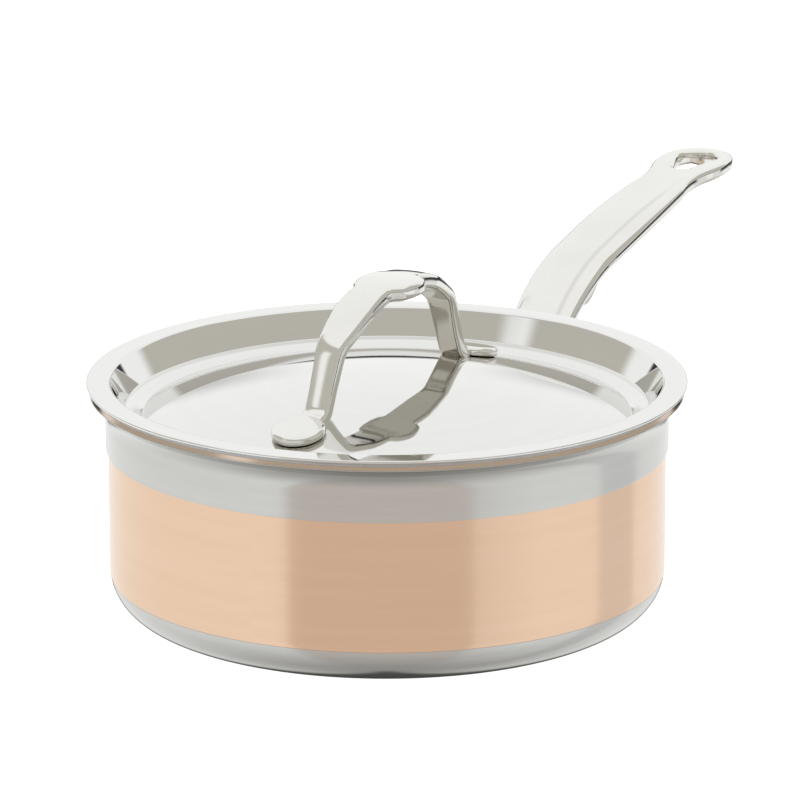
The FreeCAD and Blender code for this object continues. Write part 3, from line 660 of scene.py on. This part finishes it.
def wall_pad():
    """The cast pad that spreads the handle's root over the wall, bent to the wall's own curve."""
    half_length = math.radians(PAD_ANGLE) * COPPER_RADIUS
    half_height = (PAD_TOP - PAD_BOTTOM) / 2
    middle = (PAD_TOP + PAD_BOTTOM) / 2
    contour = []
    for side_x, side_y, start in ((1, 1, 0), (-1, 1, 90), (-1, -1, 180), (1, -1, 270)):
        contour += arc(side_x * (half_length - PAD_CORNER), side_y * (half_height - PAD_CORNER),
                       PAD_CORNER, start, start + 90, 12)
    contour = without_repeats(contour)
    insets = quarter_steps(PAD_EDGE, 8)
    insets += [PAD_EDGE + (half_height - PAD_EDGE) * step / 12 for step in range(1, 12)]
    verts, rings = [], []
    count = len(contour)

    def on_wall(u, v, out):
        """The place of a point of the flat pad, at a distance out from the wall, on the round wall."""
        radius = COPPER_RADIUS + out
        angle = u / COPPER_RADIUS
        return radius * math.cos(angle), radius * math.sin(angle), middle + v

    rings.append(range(0, count))
    verts += [on_wall(u, v, PAD_GAP) for u, v in contour]
    for inset in insets:
        rings.append(range(len(verts), len(verts) + count))
        for u, v in contour:
            shrink_u = max(half_length - inset, 0.01) / half_length
            shrink_v = max(half_height - inset, 0.01) / half_height
            out = PAD_THICK - edge_drop(inset, PAD_EDGE)
            verts.append(on_wall(u * shrink_u, v * shrink_v, out))
    faces = []
    for low, high in zip(rings, rings[1:]):
        for step in range(count):
            beyond = (step + 1) % count
            faces.append((low[step], low[beyond], high[beyond], high[step]))
    faces.append(list(rings[0])[::-1])
    faces.append(list(rings[-1]))
    return new_piece("pad", verts, faces)


# ---------------------------------------------------------------- materials

class Nodes:
    """Short spelling for a node tree: each call adds one node and returns its first output."""

    def __init__(self, tree):
        self.tree = tree

    def add(self, kind, inputs=None, **settings):
        node = self.tree.nodes.new(kind)
        for name, value in settings.items():
            setattr(node, name, value)
        for socket, value in (inputs or {}).items():
            if isinstance(value, bpy.types.NodeSocket):
                self.tree.links.new(value, node.inputs[socket])
            else:
                node.inputs[socket].default_value = value
        return node

    def math(self, operation, a, b=0.0):
        return self.add("ShaderNodeMath", {0: a, 1: b}, operation=operation).outputs[0]

    def span(self, value, low, high, to_low, to_high, smoothly=False):
        kind = "SMOOTHSTEP" if smoothly else "LINEAR"
        node = self.add("ShaderNodeMapRange", {0: value, 1: low, 2: high, 3: to_low, 4: to_high},
                        interpolation_type=kind)
        return node.outputs[0]

    def noise(self, vector, scale, detail=3.0):
        node = self.add("ShaderNodeTexNoise", {"Vector": vector, "Scale": scale, "Detail": detail})
        return node.outputs["Fac"]

    def mix(self, factor, a, b):
        node = self.add("ShaderNodeMix", {0: factor, 6: a, 7: b}, data_type="RGBA")
        return node.outputs[2]


def new_material(name):
    """A material with its nodes and its main shader."""
    material = bpy.data.materials.new(name)
    material.use_nodes = True
    return material, Nodes(material.node_tree), material.node_tree.nodes["Principled BSDF"]


# scales of the noises: fine and broad grain of turned and cast metal, and its patches of wear
TURNED_FINE, TURNED_BROAD = 2600, 240
CAST_FINE, CAST_BROAD = 420, 60
WEAR_PATCHES = 22
# how little the turned grain changes round the axis, in metres for a radian
TURNED_DRIFT = 0.004
BUMP_DEPTH = 0.0004


def metal(name, colour, tint, rough, rough_spread, bump, grain, anisotropic=0.0):
    """A metal with a colour that drifts towards a tint, and a grain that runs round the axis or is cast."""
    material, nodes, shader = new_material(name)
    place = nodes.add("ShaderNodeTexCoord").outputs["Object"]
    if grain == "turned":
        split = nodes.add("ShaderNodeSeparateXYZ", {0: place})
        x, y, z = split.outputs
        radius = nodes.math("SQRT", nodes.math("ADD", nodes.math("MULTIPLY", x, x),
                                               nodes.math("MULTIPLY", y, y)))
        angle = nodes.math("MULTIPLY", nodes.math("ARCTAN2", y, x), TURNED_DRIFT)
        rings = nodes.add("ShaderNodeCombineXYZ", {0: radius, 1: z, 2: angle}).outputs[0]
        fine = nodes.noise(rings, TURNED_FINE, 4)
        broad = nodes.noise(rings, TURNED_BROAD, 2)
        tangent = nodes.add("ShaderNodeTangent", direction_type="RADIAL", axis="Z").outputs[0]
        nodes.tree.links.new(tangent, shader.inputs["Tangent"])
    else:
        fine = nodes.noise(place, CAST_FINE, 4)
        broad = nodes.noise(place, CAST_BROAD, 2)
    patches = nodes.noise(place, WEAR_PATCHES, 3)
    drift = nodes.math("ADD", nodes.math("MULTIPLY", fine, 0.3), nodes.math("MULTIPLY", broad, 0.7))
    mixed = nodes.mix(nodes.span(drift, 0.35, 0.65, 0, 1), (*colour, 1), (*tint, 1))
    nodes.tree.links.new(mixed, shader.inputs["Base Color"])
    wear = nodes.math("ADD", nodes.math("MULTIPLY", patches, 0.5), nodes.math("MULTIPLY", fine, 0.5))
    shine = nodes.span(wear, 0.3, 0.7, rough - rough_spread, rough + rough_spread)
    nodes.tree.links.new(shine, shader.inputs["Roughness"])
    height = nodes.math("ADD", nodes.math("MULTIPLY", fine, 0.15), broad)
    bumped = nodes.add("ShaderNodeBump", {"Strength": bump, "Distance": BUMP_DEPTH, "Height": height})
    nodes.tree.links.new(bumped.outputs[0], shader.inputs["Normal"])
    shader.inputs["Metallic"].default_value = 1
    shader.inputs["Anisotropic"].default_value = anisotropic
    return material


def toned(material, mask_of, tone):
    """Lays a tone over a metal's colour where a mask, made by a function of its nodes and place, is on."""
    nodes = Nodes(material.node_tree)
    shader = material.node_tree.nodes["Principled BSDF"]
    before = shader.inputs["Base Color"].links[0].from_socket
    place = nodes.add("ShaderNodeTexCoord").outputs["Object"]
    x, y, z = nodes.add("ShaderNodeSeparateXYZ", {0: place}).outputs
    mask = mask_of(nodes, *(nodes.math("DIVIDE", value, MM) for value in (x, y, z)))
    after = nodes.mix(mask, before, (*tone, 1))
    nodes.tree.links.new(after, shader.inputs["Base Color"])


# The painted reflection, a dark line along the long handle's back: its distance from the middle, half-width
# and strength, and where along X it comes in and goes out.
CREASE_LINE, CREASE_REACH, CREASE_STRENGTH = 6.1, 1.5, 0.5
CREASE_IN, CREASE_OUT = (92, 108), (185, 212)
# how far a face looks down, as its normal's Z, where its painted shade starts and where it is full
DOWN_START, DOWN_FULL = -0.1, -0.4
# the height at which the lip's painted reflection starts and is full, and its strength
LIP_START, LIP_FULL, LIP_STRENGTH = 70, 73, 0.65


def crease_painted_reflection_mask(nodes, x, y, z):
    """A painted reflection: a soft dark line along the long handle's back where its middle meets the bevel on
    the -Y side.
    """
    off = nodes.math("ABSOLUTE", nodes.math("ADD", y, CREASE_LINE))
    line = nodes.span(off, 0, CREASE_REACH, CREASE_STRENGTH, 0, True)
    start = nodes.span(x, *CREASE_IN, 0, 1, True)
    end = nodes.span(x, *CREASE_OUT, 1, 0, True)
    return nodes.math("MULTIPLY", line, nodes.math("MULTIPLY", start, end))


def facing_down_painted_shade(nodes, x, y, z):
    """Painted shade: the faces that look down are painted darker than the rest of the polished casting."""
    normal = nodes.add("ShaderNodeNewGeometry").outputs["Normal"]
    normal_z = nodes.add("ShaderNodeSeparateXYZ", {0: normal}).outputs[2]
    return nodes.span(normal_z, DOWN_START, DOWN_FULL, 0, 1, True)


def lip_painted_reflection_mask(nodes, x, y, z):
    """Painted reflection: the copper's edge at the lip is painted paler and greyer."""
    return nodes.span(z, LIP_START, LIP_FULL, 0, LIP_STRENGTH, True)


COPPER = metal("copper_satin", (0.79, 0.57, 0.42), (0.765, 0.55, 0.40), 0.13, 0.03, 0.02, "turned", 0.5)
BAND = metal("band_satin", (0.59, 0.59, 0.575), (0.56, 0.56, 0.545), 0.14, 0.03, 0.02, "turned", 0.5)
BASE = metal("base_satin", (0.58, 0.58, 0.565), (0.55, 0.55, 0.535), 0.16, 0.04, 0.02, "turned", 0.5)
LINER = metal("liner_satin", (0.70, 0.69, 0.67), (0.64, 0.63, 0.61), 0.22, 0.05, 0.05, "turned", 0.5)
CORE = metal("core_matt", (0.72, 0.72, 0.73), (0.66, 0.66, 0.67), 0.45, 0.05, 0.05, "turned")
MIRROR = metal("lid_mirror", (0.78, 0.78, 0.77), (0.76, 0.76, 0.75), 0.035, 0.012, 0.004, "turned")
CAST = metal("cast_polished", (0.80, 0.795, 0.77), (0.77, 0.765, 0.74), 0.09, 0.02, 0.03, "cast")
RIVET = metal("rivet_satin", (0.70, 0.69, 0.67), (0.66, 0.65, 0.63), 0.2, 0.04, 0.04, "cast")

# painted reflection: a dark line along the long handle's back
toned(CAST, crease_painted_reflection_mask, (0.55, 0.545, 0.53))
# painted shade: the castings' faces that look down are darker
toned(CAST, facing_down_painted_shade, (0.50, 0.475, 0.42))
# painted reflection: a paler, greyer band on the copper at the lip
toned(COPPER, lip_painted_reflection_mask, (0.62, 0.53, 0.46))


# ---------------------------------------------------------------- pieces in the frame

def stand_in(piece, material, body, slot, *nodes):
    """Puts a piece in the place of the frame's nodes, on their body, with the material given. The slot
    argument is not used.
    """
    piece.data.materials.append(material)
    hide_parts(*nodes)
    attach(piece, body)
    return piece


stand_in(revolved("liner", softened(inner_ply(UNDER_CORE, UNDER_LINER), PLY_EDGE)),
         LINER, "pan", "satin_liner", "inner_liner")
stand_in(revolved("core", softened(inner_ply(UNDER_COPPER, UNDER_CORE), PLY_EDGE)),
         CORE, "pan", "core_aluminium", "aluminium_core")
stand_in(revolved("copper", softened(copper_ply(), PLY_EDGE)), COPPER, "pan", "copper", "copper_wall")
stand_in(revolved("band", softened(rim_band(), PLY_EDGE)), BAND, "pan", "satin_band", "rim_band")
stand_in(revolved("base", softened(base_cup(), PLY_EDGE)), BASE, "pan", "satin_base", "base_cup")
stand_in(joined("grip_casting", [long_grip(), wall_pad()]), CAST, "pan", "cast_steel", "pan_handle")

lid = revolved("lid_plate", softened(lid_plate(), LID_EDGE, 8))
stand_in(lid, MIRROR, "lid", "mirror_steel", "lid_shell")
lid_grip = joined("lid_casting", [lid_strap(), lid_foot(1), lid_foot(-1)])
lid_grip.data.transform(Matrix.Rotation(math.radians(LID_TURN), 4, "Z"))
stand_in(lid_grip, CAST, "lid", "cast_steel", "lid_handle")

for node in ("handle_rivet_left", "handle_rivet_right", "lid_rivet_outer", "lid_rivet_inner"):
    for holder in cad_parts[node].material_slots:
        holder.material = RIVET


# ---------------------------------------------------------------- floor, light and camera

HANDLE_ANGLE = math.radians(28)
RIGHT = Vector((math.sin(HANDLE_ANGLE), -math.cos(HANDLE_ANGLE), 0))
AWAY = Vector((math.cos(HANDLE_ANGLE), math.sin(HANDLE_ANGLE), 0))
UP = Vector((0, 0, 1))
CAMERA_DISTANCE, CAMERA_ELEVATION, CAMERA_ROLL = 1907.3, math.radians(15.715), -0.0015
LOOK_RIGHT, LOOK_HEIGHT = 4.25, RIM_TOP - 7.85
CAMERA_LENS = 261.86
TABLE_REACH, TABLE_TOP = 9000, -0.2


def make_floor():
    """A pale, slightly glowing table that does not show in the metal."""
    corners = [(-TABLE_REACH, -TABLE_REACH), (TABLE_REACH, -TABLE_REACH),
               (TABLE_REACH, TABLE_REACH), (-TABLE_REACH, TABLE_REACH)]
    floor = new_piece("floor", [(x, y, TABLE_TOP) for x, y in corners], [(0, 1, 2, 3)])
    material, _, shader = new_material("floor_white")
    shader.inputs["Base Color"].default_value = (0.9, 0.9, 0.9, 1)
    shader.inputs["Roughness"].default_value = 0.9
    shader.inputs["Specular IOR Level"].default_value = 0.0
    shader.inputs["Emission Color"].default_value = (1, 1, 1, 1)
    shader.inputs["Emission Strength"].default_value = 0.8
    floor.data.materials.append(material)
    floor.visible_glossy = False


# The surround is a pale tent with softly edged panels laid over it in this order. A panel is given by its
# span round the upright axis and its span in height, each as (from, to, width of the soft edge) in degrees,
# and its colour. Azimuth 0 is the way from the pan to the camera, and positive is to the camera's right.
TENT = (1.05, 1.05, 1.04)
ROOM = ((-128, 128, 8), (7, 52, 4))
WINDOW = ((-71, -57, 8), (18, 36, 8))
ROOM_GREY = (0.58, 0.56, 0.50)
FRONT = ((-41, 36, 3), (-85, 0, 3))
FRONT_GREY = (0.78, 0.72, 0.67)
SIDE = ((97, 122, 4), (-75, -4, 6))
SIDE_GREY = (0.86, 0.86, 0.86)
FLAG = ((168, 175, 6), (-14, 10, 10))
FLAG_GREY = (0.55, 0.55, 0.54)
FALL_FADE = (36, 66)
FALL = ((36, 80, 2), (-85, 0, 3))
FALL_GREY = (0.92, 0.91, 0.89)
STRIP = ((113, 150, 5), (-13, 3, 3))
STRIP_BLACK = (0.05, 0.05, 0.05)
UNDER = (-90, -24)
UNDER_GREY = (0.46, 0.45, 0.43)
TABLE_OUTSIDE = (-166, 166, 12)
TABLE_HEIGHT = (-100, -18.2, 1.5)
TABLE_BLACK = (0.09, 0.088, 0.085)
GAP = (-4, 3.5, 1.5)
GAP_BLACK = (0.05, 0.05, 0.055)


def make_light():
    """A wide soft tent of light with grey and dark panels, all set by direction in the world."""
    world = bpy.data.worlds.new("studio")
    world.use_nodes = True
    nodes = Nodes(world.node_tree)
    world.node_tree.nodes.clear()
    way = nodes.add("ShaderNodeTexCoord").outputs["Generated"]

    def share(direction):
        node = nodes.add("ShaderNodeVectorMath", {0: way, 1: direction}, operation="DOT_PRODUCT")
        return node.outputs["Value"]

    to_right, to_front = share(RIGHT), share(-AWAY)
    azimuth = nodes.math("MULTIPLY", nodes.math("ARCTAN2", to_right, to_front), 180 / math.pi)
    height = nodes.math("MULTIPLY", nodes.math("ARCSINE", share(UP)), 180 / math.pi)

    def band(value, low, high, soft):
        """On between two values, with soft edges."""
        rise = nodes.span(value, low - soft / 2, low + soft / 2, 0, 1, True)
        fall = nodes.span(value, high - soft / 2, high + soft / 2, 1, 0, True)
        return nodes.math("MULTIPLY", rise, fall)

    def panel(around, up, turn=azimuth):
        return nodes.math("MULTIPLY", band(turn, *around), band(height, *up))

    # a grey room all round but for the back, with a window left open on the left
    window = nodes.math("SUBTRACT", 1, panel(*WINDOW))
    room = nodes.math("MULTIPLY", panel(*ROOM), window)
    colour = nodes.mix(room, (*TENT, 1), (*ROOM_GREY, 1))
    # panels below the level of the eye, in front and on the right, and a flag on each side of the back
    flags = panel(*FLAG, nodes.math("ABSOLUTE", azimuth))
    fall = nodes.math("MULTIPLY", nodes.span(azimuth, *FALL_FADE, 1, 0), panel(*FALL))
    # a darker ground, and a dark table towards the back only
    under = nodes.span(height, *UNDER, 1, 0, True)
    behind = nodes.math("SUBTRACT", 1, band(azimuth, *TABLE_OUTSIDE))
    table = nodes.math("MULTIPLY", behind, band(height, *TABLE_HEIGHT))
    layers = [(panel(*FRONT), FRONT_GREY), (panel(*SIDE), SIDE_GREY), (flags, FLAG_GREY),
              (fall, FALL_GREY), (panel(*STRIP), STRIP_BLACK), (under, UNDER_GREY),
              (table, TABLE_BLACK), (band(height, *GAP), GAP_BLACK)]
    for mask, tone in layers:
        colour = nodes.mix(mask, colour, (*tone, 1))
    shine = nodes.add("ShaderNodeBackground", {"Color": colour, "Strength": 1.0})
    out = nodes.add("ShaderNodeOutputWorld")
    world.node_tree.links.new(shine.outputs[0], out.inputs["Surface"])
    bpy.context.scene.world = world


def make_camera():
    """A long lens from in front and a little above, aimed just beside the pan's axis."""
    data = bpy.data.cameras.new("camera")
    data.sensor_width = 36
    data.lens = CAMERA_LENS
    data.clip_start, data.clip_end = 0.05, 60
    camera = bpy.data.objects.new("camera", data)
    bpy.context.collection.objects.link(camera)
    back = -AWAY * math.cos(CAMERA_ELEVATION) + UP * math.sin(CAMERA_ELEVATION)
    target = RIGHT * LOOK_RIGHT + UP * LOOK_HEIGHT
    over = AWAY * math.sin(CAMERA_ELEVATION) + UP * math.cos(CAMERA_ELEVATION)
    right = RIGHT * math.cos(CAMERA_ROLL) + over * math.sin(CAMERA_ROLL)
    above = over * math.cos(CAMERA_ROLL) - RIGHT * math.sin(CAMERA_ROLL)
    turn = Matrix((right, above, back)).transposed().to_4x4()
    camera.matrix_world = Matrix.Translation((target + back * CAMERA_DISTANCE) * MM) @ turn
    bpy.context.scene.camera = camera


make_floor()
make_light()
make_camera()
bpy.context.scene.view_settings.view_transform = "Standard"
